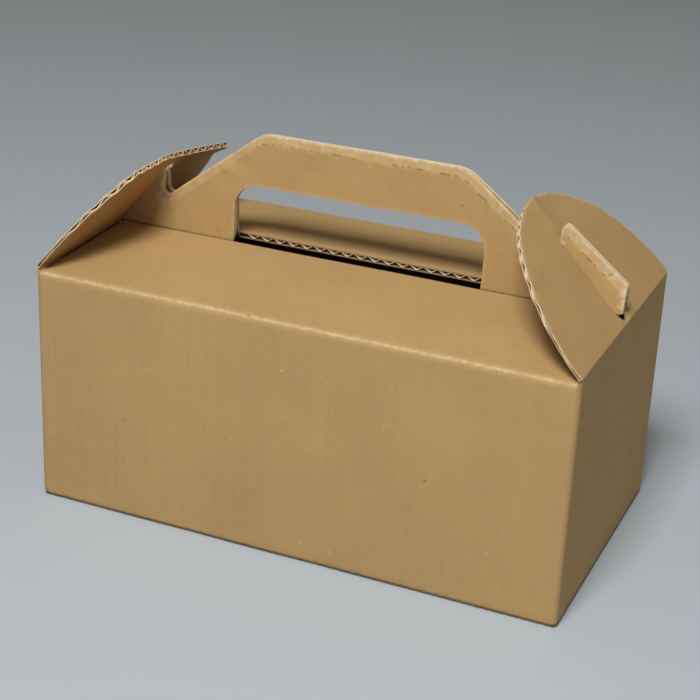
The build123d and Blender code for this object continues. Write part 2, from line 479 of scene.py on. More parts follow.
def side_grid(end, low_top):
    """Rows and columns over a side wall and its two corner folds, with its square faces."""
    bends, across, up = 8, 48, 40
    columns = [end.arc * k / bends for k in range(bends)]
    columns += [end.arc + end.flat * k / across for k in range(across + 1)]
    columns += [end.total - end.arc * (bends - k) / bends for k in range(1, bends + 1)]
    fold_top = WALL_FOOT + BOTTOM_FOLD
    rows = [WALL_FOOT + BOTTOM_FOLD * share for share in FOOT_STEPS]
    rows += [fold_top + (SIDE_WALL_HEIGHT - fold_top) * k / up for k in range(1, up + 1)]
    flat, faces = [], []
    for w in columns:
        nearest = min(w, end.total - w) / end.arc
        top = low_top + (SIDE_WALL_HEIGHT - low_top) * min(nearest, 1.0) ** CORNER_TOP_CURVE
        squeeze = (top - fold_top) / (SIDE_WALL_HEIGHT - fold_top)
        flat += [Vector((w, min(z, fold_top) + max(z - fold_top, 0) * squeeze)) for z in rows]
    tall = len(rows)
    for i in range(len(columns) - 1):
        for j in range(tall - 1):
            low = i * tall + j
            faces.append((low, low + tall, low + tall + 1, low + 1))
    return flat, faces


def handle_corners(run, ridge_half, notch_half, ear_peak):
    """One half of the handle's outline, as (x, u, radius) in the flat board."""
    notch_floor = HANDLE_HEIGHT - (notch_half - HANDLE_TOP_HALF) * tan(radians(SHOULDER_ANGLE))
    ear_end_top = ear_peak - (EAR_END_HALF - notch_half) * tan(radians(EAR_ANGLE))
    base = run.handle_start
    return [
        (ridge_half, run.ridge_start, 0),
        (EAR_END_HALF, base + EAR_LIFT, EAR_FOOT_RADIUS),
        (EAR_END_HALF, base + ear_end_top, EAR_RADIUS),
        (notch_half, base + ear_peak, EAR_RADIUS),
        (notch_half, base + notch_floor, NOTCH_RADIUS),
        (HANDLE_TOP_HALF, base + HANDLE_HEIGHT, HANDLE_CORNER_RADIUS),
    ]


def long_outline(run, sizes):
    """The flat outline of a long wall with its roof panel and handle board."""
    tangent = HALF_LENGTH - sizes.corner_radius
    crease_half = HALF_LENGTH - sizes.board - ROOF_END_GAP
    wall = [
        (tangent, WALL_FOOT, 0),
        (tangent, run.crease_start, 0),
        (tangent + CREASE_END_REACH, run.crease_start + CREASE_END_RISE, 0),
        (tangent + CREASE_END_REACH, run.roof_start, 0),
        (crease_half, run.roof_start + CREASE_END_RISE, 0),
    ]
    right = wall + handle_corners(run, *RIGHT_END)
    left = wall + handle_corners(run, *LEFT_END)
    return rounded(right + [(-x, u, r) for x, u, r in reversed(left)], sizes.mesh_step)


def hand_hole(run, sizes, slip):
    """The flat outline of the hand hole, with its left edge slipped outward."""
    top = run.handle_start + HAND_HOLE_HEIGHT
    floor = run.ridge_start
    corners = [
        (-HAND_HOLE_HALF - slip, floor, 0),
        (HAND_HOLE_HALF, floor, 0),
        (HAND_HOLE_HALF, top, HAND_HOLE_RADIUS),
        (-HAND_HOLE_HALF - slip, top, HAND_HOLE_RADIUS),
    ]
    return rounded(corners, sizes.mesh_step)


def crushed_path(run):
    """The die-crushed edges: the right ear, the handle's top with its shoulders, the left ear.

    Of each half's corners, 2 and 3 are the ear's top, 4 the notch and 5 the handle's top.
    """
    halves = []
    for end in (RIGHT_END, LEFT_END):
        halves.append([Vector(corner[:2]) for corner in handle_corners(run, *end)])
    right, left = halves
    for point in left:
        point.x = -point.x
    bar = [
        (*right[4], 0), (*right[5], HANDLE_CORNER_RADIUS),
        (*left[5], HANDLE_CORNER_RADIUS), (*left[4], 0),
    ]
    loop = rounded(bar + [(0, 0, 0)], 2.0)
    last = min(range(len(loop)), key=lambda k: (Vector(loop[k]) - left[4]).length)
    ears = [[tuple(half[2]), tuple(half[3])] for half in (right, left)]
    return [ears[0], loop[: last + 1], ears[1]]


# Node trees

def math_in(tree):
    """A function that adds a math node to a tree and gives its output."""

    def math(operation, a, b=None):
        node = tree.nodes.new("ShaderNodeMath")
        node.operation = operation
        for socket, value in zip(node.inputs, (a, b)):
            if value is None:
                continue
            if isinstance(value, (int, float)):
                socket.default_value = value
            else:
                tree.links.new(value, socket)
        return node.outputs[0]

    return math


def after_in(tree):
    """A function that adds a node to a tree, fed by an output at one of its inputs."""
    def after(source, kind, socket=0):
        node = tree.nodes.new(kind)
        tree.links.new(source, node.inputs[socket])
        return node

    return after


# Fluted paper, grown by geometry nodes

# The shortest flute, where the slot comes near the rim
LEAST_FLUTE = 0.4


def fluted_tree():
    """A tree that grows fluted paper in the flat: X across the flutes, Y along them."""
    tree = bpy.data.node_groups.new("Fluted Paper", "GeometryNodeTree")
    face = tree.interface
    for name, default in (
        ("Half Span", 60.0), ("Pitch", 6.5), ("Rise", 0.9), ("Thickness", 0.24),
        ("Reach", 64.0), ("Outline Half", 66.5), ("Fullness", 1.8), ("Start", 2.0),
        ("Slot Half", 0.0), ("Slot End", 0.0), ("Cut Reach", 1e3), ("Cut Slope", 0.0),
    ):
        socket = face.new_socket(name, in_out="INPUT", socket_type="NodeSocketFloat")
        socket.default_value = default
    face.new_socket("Columns", in_out="INPUT", socket_type="NodeSocketInt").default_value = 300
    face.new_socket("Rows", in_out="INPUT", socket_type="NodeSocketInt").default_value = 10
    face.new_socket("Paper", in_out="INPUT", socket_type="NodeSocketMaterial")
    face.new_socket("Geometry", in_out="OUTPUT", socket_type="NodeSocketGeometry")
    nodes, links = tree.nodes, tree.links
    given = nodes.new("NodeGroupInput").outputs
    result = nodes.new("NodeGroupOutput")
    math, after = math_in(tree), after_in(tree)

    grid = nodes.new("GeometryNodeMeshGrid")
    links.new(math("MULTIPLY", given["Half Span"], 2.0), grid.inputs["Size X"])
    grid.inputs["Size Y"].default_value = 1.0
    links.new(given["Columns"], grid.inputs["Vertices X"])
    links.new(given["Rows"], grid.inputs["Vertices Y"])
    split = after(nodes.new("GeometryNodeInputPosition").outputs[0], "ShaderNodeSeparateXYZ")
    x = split.outputs[0]
    share = math("ADD", split.outputs[1], 0.5)

    # The flutes end at the curved rim or at the straight cut, whichever is nearer
    ratio = math("DIVIDE", math("ABSOLUTE", x), given["Outline Half"])
    room = math("MAXIMUM", math("SUBTRACT", 1.0, math("MULTIPLY", ratio, ratio)), 0.0001)
    arch = math("POWER", room, math("DIVIDE", 1.0, given["Fullness"]))
    edge = math("MULTIPLY", given["Reach"], arch)
    slope = math("MULTIPLY", math("ABSOLUTE", x), given["Cut Slope"])
    edge = math("MINIMUM", edge, math("SUBTRACT", given["Cut Reach"], slope))

    # They start by the fold, or past the slot where they would cross it
    in_slot = math("LESS_THAN", math("ABSOLUTE", x), given["Slot Half"])
    past_slot = math("MULTIPLY", in_slot, math("SUBTRACT", given["Slot End"], given["Start"]))
    start = math("ADD", given["Start"], past_slot)
    start = math("MINIMUM", start, math("SUBTRACT", edge, LEAST_FLUTE))
    along = math("ADD", start, math("MULTIPLY", share, math("SUBTRACT", edge, start)))
    wave = math("SINE", math("MULTIPLY", math("DIVIDE", x, given["Pitch"]), 2 * pi))

    join = after(x, "ShaderNodeCombineXYZ")
    links.new(along, join.inputs[1])
    links.new(math("MULTIPLY", wave, given["Rise"]), join.inputs[2])
    bend = after(grid.outputs[0], "GeometryNodeSetPosition", "Geometry")
    links.new(join.outputs[0], bend.inputs["Position"])
    thick = after(bend.outputs[0], "GeometryNodeExtrudeMesh", "Mesh")
    thick.inputs["Individual"].default_value = False
    links.new(given["Thickness"], thick.inputs["Offset Scale"])
    back = after(bend.outputs[0], "GeometryNodeFlipFaces")
    both = after(thick.outputs[0], "GeometryNodeJoinGeometry")
    links.new(back.outputs[0], both.inputs[0])
    merged = after(both.outputs[0], "GeometryNodeMergeByDistance", "Geometry")
    merged.inputs["Distance"].default_value = 0.0005
    real = after(merged.outputs[0], "GeometryNodeRealizeInstances")
    paint = after(real.outputs[0], "GeometryNodeSetMaterial", "Geometry")
    links.new(given["Paper"], paint.inputs["Material"])
    links.new(paint.outputs[0], result.inputs[0])
    return tree


def grow_flutes(name, place, paper, values):
    """Fluted paper from the tree, carried from the flat to its place."""
    tree = bpy.data.node_groups.get("Fluted Paper") or fluted_tree()
    seed = bpy.data.objects.new(name, bpy.data.meshes.new(name))
    bpy.context.scene.collection.objects.link(seed)
    modifier = seed.modifiers.new("Flutes", "NODES")
    modifier.node_group = tree
    sockets = [item for item in tree.interface.items_tree if item.in_out == "INPUT"]
    keys = {socket.name: socket.identifier for socket in sockets}
    for label, value in values.items():
        modifier[keys[label]] = value
    modifier[keys["Paper"]] = paper
    bpy.context.view_layer.update()
    evaluated = seed.evaluated_get(bpy.context.evaluated_depsgraph_get())
    grown = bpy.data.meshes.new_from_object(evaluated)
    bpy.data.objects.remove(seed)
    mesh = bmesh.new()
    mesh.from_mesh(grown)
    bpy.data.meshes.remove(grown)
    for vert in mesh.verts:
        vert.co = place(*vert.co)
    for face in mesh.faces:
        face.smooth = True

    # A mirrored place turns the paper inside out, and then its faces are turned back
    first = place(0, 20, 0)
    across, along, up = place(1, 20, 0) - first, place(0, 21, 0) - first, place(0, 20, 1) - first
    if across.cross(along).dot(up) < 0:
        bmesh.ops.reverse_faces(mesh, faces=mesh.faces)
    return mesh


# Paper finishes

# How far each effect moves the paper's tone, as a share of its colour
CLOUD_TONE = 0.05
STREAK_TONE = 0.02
FIBRE_TONE = 0.045
DARK_SPECK_TONE = 0.38
LIGHT_SPECK_TONE = 0.35
# Scuffs and painted highlights pale the paper, and cracks and painted shade lines darken it
SCUFF_AND_HIGHLIGHT_TONE = 0.6
CRACK_AND_SHADE_TONE = 0.5
DEEPEST_CRACK_AND_SHADE = -1.6
# How high the flutes' ribs, the fibres and the soft buckles stand, in millimetres
RIB_HEIGHT = 0.03
FIBRE_HEIGHT = 0.03
BUCKLE_HEIGHT = 0.35


def new_socket(group, name, direction, default):
    """Adds a named socket to a shader group: a colour or a number, by its default."""
    kind = "NodeSocketColor" if isinstance(default, tuple) else "NodeSocketFloat"
    socket = group.interface.new_socket(name, in_out=direction, socket_type=kind)
    socket.default_value = default


def paper_group(pitch):
    """Kraft paper: fibres, cloudy formation, specks, wear with painted highlights and shade, and
    the faint ribs of the flutes.
    """
    group = bpy.data.node_groups.new("Kraft Paper", "ShaderNodeTree")
    for name, default in (
        ("Colour", (0.5, 0.3, 0.15, 1)), ("Fibre", 1.0), ("Ribs", 0.5), ("Specks", 1.0),
        ("Wear And Painted Light", 0.0), ("Scuffed And Highlight", (0.8, 0.66, 0.43, 1)),
    ):
        new_socket(group, name, "INPUT", default)
    for name, default in (("Colour", (0, 0, 0, 1)), ("Roughness", 0.0), ("Height", 0.0)):
        new_socket(group, name, "OUTPUT", default)
    nodes, links = group.nodes, group.links
    given = nodes.new("NodeGroupInput").outputs
    result = nodes.new("NodeGroupOutput").inputs
    coords = nodes.new("ShaderNodeTexCoord").outputs["Object"]
    math, after = math_in(group), after_in(group)

    def noise_map(scale, stretch, detail):
        mapping = after(coords, "ShaderNodeMapping", "Vector")
        mapping.inputs["Scale"].default_value = stretch
        node = after(mapping.outputs[0], "ShaderNodeTexNoise", "Vector")
        for name, value in (("Scale", scale), ("Detail", detail), ("Roughness", 0.55)):
            node.inputs[name].default_value = value
        return node.outputs[0]

    def remap(value, low, high, to_low, to_high):
        node = after(value, "ShaderNodeMapRange")
        for socket, number in zip(node.inputs[1:5], (low, high, to_low, to_high)):
            socket.default_value = number
        return node.outputs[0]

    def both_ways(value, low, high, reach):
        return remap(value, low, high, -reach, reach)

    # Clouds, and fibres that lie along the board, up it and every way
    clouds = noise_map(26.0, (1, 1, 1), 4.0)
    fibres = noise_map(700.0, (0.45, 1, 1), 3.0)
    cross_fibres = noise_map(620.0, (1, 1, 0.5), 3.0)
    streaks = noise_map(420.0, (1, 1, 0.03), 2.0)
    grain = noise_map(2600.0, (1, 1, 1), 2.0)
    mixed = math("ADD", math("MULTIPLY", fibres, 0.4), math("MULTIPLY", cross_fibres, 0.35))
    mixed = math("ADD", mixed, math("MULTIPLY", grain, 0.25))
    cloudy = math(
        "ADD", both_ways(clouds, 0.3, 0.7, CLOUD_TONE), both_ways(streaks, 0.3, 0.7, STREAK_TONE))
    fibrous = math("MULTIPLY", both_ways(mixed, 0.35, 0.65, FIBRE_TONE), given["Fibre"])
    tone = math("ADD", cloudy, fibrous)

    # Specks
    dark = remap(noise_map(330.0, (1, 1, 1), 1.0), 0.785, 0.81, 0.0, 1.0)
    light = remap(noise_map(290.0, (1.1, 1, 0.9), 1.0), 0.79, 0.81, 0.0, 1.0)
    dark = math("MULTIPLY", math("MULTIPLY", dark, DARK_SPECK_TONE), given["Specks"])
    light = math("MULTIPLY", math("MULTIPLY", light, LIGHT_SPECK_TONE), given["Specks"])
    tone = math("ADD", math("SUBTRACT", tone, dark), light)

    # Cracks and painted shade lines darken the paper, and scuffs and painted highlights mix it
    # with the pale scuffed colour
    crack_and_shade = math("MAXIMUM", math("MINIMUM", given["Wear And Painted Light"], 0.0), DEEPEST_CRACK_AND_SHADE)
    tone = math("ADD", tone, math("MULTIPLY", crack_and_shade, CRACK_AND_SHADE_TONE))
    tint = nodes.new("ShaderNodeVectorMath")
    tint.operation = "SCALE"
    links.new(given["Colour"], tint.inputs[0])
    links.new(math("ADD", tone, 1.0), tint.inputs["Scale"])
    patchy = remap(noise_map(420.0, (1, 1, 1), 3.0), 0.38, 0.62, 0.35, 1.0)
    scuff_and_light = math("MULTIPLY", math("MAXIMUM", given["Wear And Painted Light"], 0.0), patchy)
    pale = nodes.new("ShaderNodeMix")
    pale.data_type = "RGBA"
    links.new(math("MINIMUM", math("MULTIPLY", scuff_and_light, SCUFF_AND_HIGHLIGHT_TONE), 1.0), pale.inputs[0])
    links.new(tint.outputs[0], pale.inputs[6])
    links.new(given["Scuffed And Highlight"], pale.inputs[7])
    links.new(pale.outputs[2], result["Colour"])
    links.new(remap(mixed, 0.3, 0.7, 0.72, 0.86), result["Roughness"])

    # The ribs of the flutes, the fibres and soft buckles
    split = after(coords, "ShaderNodeSeparateXYZ")
    turn = math("MULTIPLY", split.outputs[0], 2 * pi / (pitch * MM))
    ribs = math("MULTIPLY", math("SINE", turn), given["Ribs"])
    ribs = math("MULTIPLY", ribs, RIB_HEIGHT * MM)
    height = math("ADD", ribs, math("MULTIPLY", mixed, FIBRE_HEIGHT * MM))
    buckles = math("MULTIPLY", noise_map(60.0, (1, 1, 1), 2.0), BUCKLE_HEIGHT * MM)
    links.new(math("ADD", height, buckles), result["Height"])
    return group


def paper(name, tint, fibre, ribs, specks):
    """A paper material on the shared group."""
    pitch = bpy.context.scene.gable_box_sizes.pitch
    group = bpy.data.node_groups.get("Kraft Paper") or paper_group(pitch)
    material = bpy.data.materials.new(name)
    material.use_nodes = True
    nodes, links = material.node_tree.nodes, material.node_tree.links
    shader = nodes["Principled BSDF"]
    look = nodes.new("ShaderNodeGroup")
    look.node_tree = group
    for given, value in (
        ("Colour", (*tint, 1)), ("Fibre", fibre), ("Ribs", ribs), ("Specks", specks),
    ):
        look.inputs[given].default_value = value
    # The attribute carries scuffs and cracks together with painted highlights and painted shade
    # lines
    wear_and_painted_light = nodes.new("ShaderNodeAttribute")
    wear_and_painted_light.attribute_name = "wear_and_painted_light"
    links.new(wear_and_painted_light.outputs["Fac"], look.inputs["Wear And Painted Light"])
    links.new(look.outputs["Colour"], shader.inputs["Base Color"])
    links.new(look.outputs["Roughness"], shader.inputs["Roughness"])
    shader.inputs["Specular IOR Level"].default_value = 0.25
    bump = nodes.new("ShaderNodeBump")
    bump.inputs["Strength"].default_value = 1.0
    bump.inputs["Distance"].default_value = 1.0
    links.new(look.outputs["Height"], bump.inputs["Height"])
    links.new(bump.outputs[0], shader.inputs["Normal"])
    return material


def papers():
    """The finishes by name, made once: face, inside, medium and cut edge."""
    colours = bpy.context.scene.gable_box_colours
    wanted = {
        "kraft_face": (colours.kraft, 1.0, 0.5, 1.0),
        "kraft_inside": (colours.inside, 1.2, 0.4, 0.6),
        "kraft_medium": (colours.medium, 1.2, 0.0, 0.3),
        "kraft_cut": (colours.cut, 1.6, 0.0, 0.3),
    }
    return {
        name: bpy.data.materials.get(name) or paper(name, *look)
        for name, look in wanted.items()
    }


def board_papers():
    """The three finishes of a piece of board, in the order of its material slots."""
    finish = papers()
    return [finish["kraft_face"], finish["kraft_inside"], finish["kraft_cut"]]


# Walls, roof and handle

# Material slots: both faces of both liners and the cut edge, and the same for a solid sheet
BOARD_TAGS = {"faces": [0, 1, 1, 1], "edge": 2}
SHEET_TAGS = {"faces": [0, 1], "edge": 2}
WRAPPED_TAGS = {"faces": [0, 1], "edge": 0}

# Extra points: how far inside a crushed edge, past a crease's start, and along the board
CRUSH_STEPS = (0.5, 1.2, 2.2, 2.9, 3.4, 3.9, 5.0)
CRUSH_POINT_GAP = 1.3
CREASE_STEPS = (-1.2, 0.0, 0.8, 1.6, 2.1, 2.6, 3.1, 3.6, 4.3, 5.1, 6.3)
ROW_POINT_GAP = 1.95
ROW_POINTS = 60

# The face carries wear and painted light this near to the crease, and from this far below the
# ridge upward
WEAR_AND_LIGHT_BAND = 4
# Width and scallop of the painted highlight along the crease, and width of the painted shade line
# along the ridge fold
CREASE_HIGHLIGHT_WIDTH = 0.95
CREASE_HIGHLIGHT_WAVE = 0.12
RIDGE_SHADE_WIDTH = 0.9
# Cracks stand between these distances from a crushed edge
CRACK_START = 3.2
CRACK_END = 3.6
# Further from an edge than the wear and the painted highlights reach
BEYOND_WEAR_AND_LIGHT = 9.0


def flute_rise(sizes):
    """Half the height of the fluted paper's wave."""
    return (sizes.board - 2 * sizes.liner - sizes.medium) / 2


def board_layers(sizes, outer, inner):
    """Both faces of both liners, from the depths of the board's outer and inner face."""
    return [
        (outer, 1), (lambda p: outer(p) - sizes.liner, -1),
        (lambda p: inner(p) + sizes.liner, 1), (inner, -1),
    ]


class LongFace:
    """How the face of a long wall, its roof panel and its handle board is pressed, worn and
    painted with highlights and shade.
    """

    def __init__(self, run, sizes, outline):
        self.run = run
        self.sizes = sizes
        self.paths = crushed_path(run)
        self.bend = run.handle_start - run.ridge_start
        self.crease = (run.crease_start + run.roof_start) / 2
        self.ridge = run.ridge_start + self.bend / 2
        self.handle_rim = [p for p in outline if p[1] > run.ridge_start + 0.5]
        self.near = [p for p in self.fine_points() if inside(p, outline)]

    def fine_points(self):
        """Extra flat points, where the face changes over a short way."""
        near = []
        for path in self.paths:
            dense = []
            for start, stop in zip(path, path[1:]):
                dense += walk(start, stop, CRUSH_POINT_GAP)
            near += inset_points(dense + path[-1:], CRUSH_STEPS)
        ridge_steps = (-1.5, -0.7, 0, self.bend / 2, self.bend, self.bend + 0.7, self.bend + 2)
        rows = [self.run.crease_start + shift for shift in CREASE_STEPS]
        rows += [self.run.ridge_start + shift for shift in ridge_steps]
        rows += [WALL_FOOT + BOTTOM_FOLD * share for share in FOOT_STEPS[1:]]
        return near + [
            (k * ROW_POINT_GAP, u) for u in rows for k in range(-ROW_POINTS, ROW_POINTS + 1)
        ]

    def pressed(self, point, far, side):
        """How far the die, a dent or a fold moves the face at a point far from a crushed edge."""
        patch = noise.noise(Vector((point.x * 0.35, point.y * 0.35, 3.7 + side)))
        wide = self.sizes.crush_width * (1.05 + 0.25 * patch)
        pucker = 0.3 * noise.noise(Vector((point.x * 0.55, point.y * 0.55, 8.1 + side)))
        press = min(pucker * max(0.0, 1 - abs(far - wide) / 2.5), 0.1)
        if far < wide:
            press -= self.sizes.crush_depth * (1 - far / wide) ** 0.8
        press -= RIDGE_FURROW * max(0.0, 1 - abs(point.y - self.ridge) / 0.8)
        for x, rise, reach, deep in HANDLE_DENTS:
            span = hypot(point.x - x, point.y - self.run.handle_start - rise) / reach
            press -= deep * max(0.0, 1 - span ** 2) ** 2
        return press

    def wear_and_light(self, point, far, rim, hole_rim, side):
        """How light the scuffs and painted highlights, and below zero how dark the cracks and
        painted shade lines, are at a point of the face.
        """
        patch = noise.noise(Vector((point.x * 0.12, 5.0 + side, point.y * 0.3)))
        fine = noise.noise(Vector((point.x * 0.45, 15.0 + side, point.y * 0.1)))
        wave = CREASE_HIGHLIGHT_WAVE * sin(2 * pi * point.x / self.sizes.pitch)
        from_crease = abs(point.y - self.crease - wave)
        from_ridge = abs(point.y - self.ridge)
        # Painted highlight: a pale, scalloped line along the crease stands in for the sheen on
        # its rounded top
        if from_crease < WEAR_AND_LIGHT_BAND:
            return (1.0 + 0.6 * patch) * max(0.0, 1 - from_crease / CREASE_HIGHLIGHT_WIDTH)
        # Painted shade: a dark line along the ridge fold stands in for the shade in the fold
        if from_ridge < WEAR_AND_LIGHT_BAND / 2:
            return -1.5 * max(0.0, 1 - from_ridge / RIDGE_SHADE_WIDTH)
        on_ear = abs(point.x) > RIGHT_NOTCH_HALF - 1
        # Pale rim of the handle and the hand hole: partly pale cut paper, partly a painted
        # highlight where the cut edge catches the light from above
        light = max(1.5 - 1.5 * rim / 0.9, 0.3 - 0.3 * hole_rim / 0.8, 0.0)
        # The crushed band is paler, partly from the crushing and partly as a painted highlight on
        # its bevel tilted toward the light
        if far < CRACK_START:
            return max(light, (0.4 if on_ear else 0.2) + 0.3 * patch)
        if far < CRACK_END and fine > 0.12 and point.x > -50:
            return -1.0
        return light

    def state(self, point, hole, side):
        """How far the face is pressed, and its wear and painted light, at a flat point."""
        if point.y > self.run.ridge_start - WEAR_AND_LIGHT_BAND:
            far = min(distance_to(point, path) for path in self.paths)
            rim = distance_to(point, self.handle_rim)
            hole_rim = distance_to(point, hole + hole[:1])
            return self.pressed(point, far, side), self.wear_and_light(point, far, rim, hole_rim, side)
        if abs(point.y - self.crease) < WEAR_AND_LIGHT_BAND:
            return 0.0, self.wear_and_light(point, BEYOND_WEAR_AND_LIGHT, BEYOND_WEAR_AND_LIGHT, BEYOND_WEAR_AND_LIGHT, side)
        return 0.0, 0.0


def long_board(run, sizes, outline, face, side):
    """The mesh of one long wall with its roof panel and handle board."""
    slip = BACK_HOLE_SLIP if side > 0 else 0.0
    hole = hand_hole(run, sizes, slip)
    near = [p for p in face.near if not inside(p, hole)]
    flat, faces = fill(outline, [hole], sizes.mesh_step, near)
    state = {point_key(p): face.state(p, hole, side) for p in flat}

    def press(point):
        return state[point_key(point)][0]

    def wear_and_painted_light(point):
        return state[point_key(point)][1]

    def shows_flutes(point):
        on_ridge = abs(point.y - run.ridge_start) < 0.01
        return on_ridge and -HAND_HOLE_HALF - slip < point.x < HAND_HOLE_HALF

    layers = board_layers(sizes, press, lambda p: -sizes.board)
    return board_mesh(
        flat, faces, lambda x, u, d: run.point(side, x, u, d),
        layers, shows_flutes, BOARD_TAGS, wear_and_painted_light)


def side_board(run, sizes, side):
    """The mesh of one side wall with its two upright corner folds."""
    end = SideRun(sizes)
    flat, faces = side_grid(end, run.crease_start)
    return board_mesh(
        flat, faces, lambda w, z, d: end.point(side, w, z, d),
        [(lambda p: 0.0, 1), (lambda p: -sizes.board, -1)], lambda p: False, WRAPPED_TAGS)


class GABLE_OT_walls(bpy.types.Operator):
    """Adds the four walls, the roof panels and the two handle boards"""

    bl_idname = "gable_box.walls"
    bl_label = "Walls, Roof and Handle"

    def execute(self, context):
        sizes = context.scene.gable_box_sizes
        run = LongRun(sizes)
        outline = long_outline(run, sizes)
        face = LongFace(run, sizes, outline)
        meshes = [long_board(run, sizes, outline, face, side) for side in (1, -1)]
        meshes += [side_board(run, sizes, side) for side in (1, -1)]
        finish_piece("folded_board", meshes, board_papers(), "box", ["folded_box"])
        return {"FINISHED"}


# How far the fluted paper reaches back from a roof edge
FLUTE_STRIP = 7.0


class GABLE_OT_roof_edges(bpy.types.Operator):
    """Adds the open flutes along the two roof edges in the hand hole"""

    bl_idname = "gable_box.roof_edges"
    bl_label = "Fluted Roof Edges"

    def execute(self, context):
        sizes = context.scene.gable_box_sizes
        medium = papers()["kraft_medium"]
        run = LongRun(sizes)
        start = run.ridge_start - FLUTE_STRIP
        middle = -sizes.board / 2 - sizes.medium / 2
        values = {
            "Half Span": HAND_HOLE_HALF, "Pitch": sizes.pitch, "Rise": flute_rise(sizes),
            "Thickness": sizes.medium, "Reach": FLUTE_STRIP - 0.05, "Outline Half": 1e5,
            "Start": 0.0, "Columns": 290, "Rows": 3,
        }
        flutes = []
        for side in (1, -1):
            flutes.append(grow_flutes(
                "roof_flutes",
                lambda x, u, d, side=side: run.point(side, x, u + start, d + middle),
                medium, values))
        finish_piece("roof_edge_flutes", flutes, [medium], "box")
        return {"FINISHED"}


# Side flaps

# A flap's board is pressed to a share of its thickness, and a pinch thins it towards its ends
FLAP_THICKNESS = 0.85
BENT_FLAP_THICKNESS = 0.98
FLAP_PINCH = 0.36
FLAP_PINCH_START = 44
TIP_DROOP_START = 42
TIP_DROOP_SPAN = 12
BEND_STRIP = 2.4
SLOT_CLEARANCE = 0.15
# A flap's edge along its fold lies this far up the flap
FOLD_LINE = 0.05
# How the die leaves a flap: pressed round its slot, sagging between the flutes, torn at its rim
SLOT_PRESS = 0.55
RIM_SAG = 0.45
FACE_SAG = 0.03
RIM_TEAR = 0.16
FLUTE_START = 2.0
SLOT_RIM = 1.6


def flap_edge(y, bent):
    """How far a side flap reaches from its fold at y, up to its blunt point."""
    reach = FLAP_REACH * max(1 - (abs(y) / FLAP_HALF) ** 2, 0.0) ** (1 / FLAP_FULLNESS)
    if bent:
        return min(reach, BENT_REACH - BENT_SLOPE * abs(y))
    return reach + FLAP_POINT * exp(-abs(y) / 5)


def flap_place(side, angle, bent):
    """A function that carries flat flap points (y, s) at depth d to their place."""
    lift = radians(angle)
    over_bend = Vector((sin(radians(BEND_SLANT)), cos(radians(BEND_SLANT))))
    turn = radians(BEND_ANGLE)
    radius = BEND_STRIP / turn
    thickness = BENT_FLAP_THICKNESS if bent else FLAP_THICKNESS

    def place(y, s, d):
        to_end = (abs(y) - FLAP_PINCH_START) / (FLAP_HALF - FLAP_PINCH_START)
        d *= thickness - FLAP_PINCH * min(max(to_end, 0.0), 1.0) ** 1.5
        uneven = noise.noise(Vector((y / 40, s / 30, 4.0 + side)))
        d += FLAP_UNEVENNESS * uneven * min(s / 20, 1.0)
        if not bent:
            to_tip = (s - TIP_DROOP_START) / TIP_DROOP_SPAN
            d -= FLAP_TIP_DROOP * (1 - exp(-abs(y) / 3.5)) * min(max(to_tip, 0.0), 1.0)
        past = Vector((y, s - BEND_REACH)).dot(over_bend) + BEND_STRIP / 2
        if bent and past > 0:
            swept = turn * min(past / BEND_STRIP, 1.0)
            beyond = max(past - BEND_STRIP, 0.0)
            foot = Vector((y, s)) - over_bend * past
            reach = (radius + d) * sin(swept) + beyond * cos(swept)
            drop = (radius + d) * (1 - cos(swept)) + beyond * sin(swept)
            y, s = foot + over_bend * reach
            d = d - drop
        x = HALF_LENGTH - s * cos(lift) + d * sin(lift)
        z = SIDE_WALL_HEIGHT + s * sin(lift) + d * cos(lift)
        return Vector((side * x, y, z)) * MM

    return place


def slot_loop(run, angle, end):
    """The slot in a side flap and its half width, as wide as the handle boards are there."""
    def half(reach):
        height = SIDE_WALL_HEIGHT + reach * sin(radians(angle)) - RIDGE_HEIGHT
        return run.ridge_outer - max(height - 2, 0) * tan(run.lean) + SLOT_CLEARANCE

    wide, far = half(SLOT_SHOULDER), half(end)
    corners = [
        (-SLOT_NECK, SLOT_START, 1.5), (SLOT_NECK, SLOT_START, 1.5), (wide, SLOT_SHOULDER, 0.8),
        (far, end, SLOT_CORNER), (-far, end, SLOT_CORNER), (-wide, SLOT_SHOULDER, 0.8),
    ]
    return rounded(corners, 1.2, 0.5), wide


def flap_rim(side, bent):
    """The curved edge of a side flap, a little rough, from its back end to its front end."""
    steps = 150
    rim = []
    for k in range(steps + 1):
        y = -FLAP_HALF * cos(pi * k / steps)
        rough = FLAP_RIM_ROUGHNESS * noise.noise(Vector((y * 0.55, side * 9.0, 0)))
        rim.append((y, max(flap_edge(y, bent) + rough, FOLD_LINE if y < 0 else FLAP_HEEL)))
    return rim[::-1]


def flap_fine_points(rim, outline, slot):
    """Extra flat points just inside a flap's rim and round its slot."""
    near = []
    for depth in (0.7, 1.6, 3.0):
        near += [(y * (1 - depth / FLAP_HALF), s - depth) for y, s in rim if s > depth + 1]
        near += inset_points(slot + slot[:2], (-depth,))
    return [p for p in near if inside(p, outline) and not inside(p, slot)]


def flap_state(point, rim, ring, sizes, side):
    """The depths of a flap's outer and inner face, and how pale its rim and slot edge are, at a
    flat point: pale cut paper with a painted highlight.
    """
    from_slot = distance_to(point, ring)
    from_rim = distance_to(point, rim)
    press = SLOT_PRESS * max(0.0, 1 - from_slot / 2.0) ** 1.5
    wave = sin(2 * pi * point.x / sizes.pitch)
    near_side = 1.0 if point.x < 0 else 0.3
    sag = FACE_SAG + RIM_SAG * near_side * max(0.0, 1 - from_rim / 2.4)
    tear = RIM_TEAR * noise.noise(Vector((point.x * 0.9, 3.0, side)))
    tear *= max(0.0, 1 - from_rim / 3.0)
    # Pale rim and slot edge: partly the pale paper of the cut, partly a painted highlight where
    # the edge catches the light
    scuff_and_light = max(0.0, 1 - min(from_rim, from_slot) / 0.9)
    outer = -press - sag * (1 - wave) / 2 + tear
    inner = -sizes.board + press + sag * (1 + wave) / 2 - tear
    return outer, inner, scuff_and_light


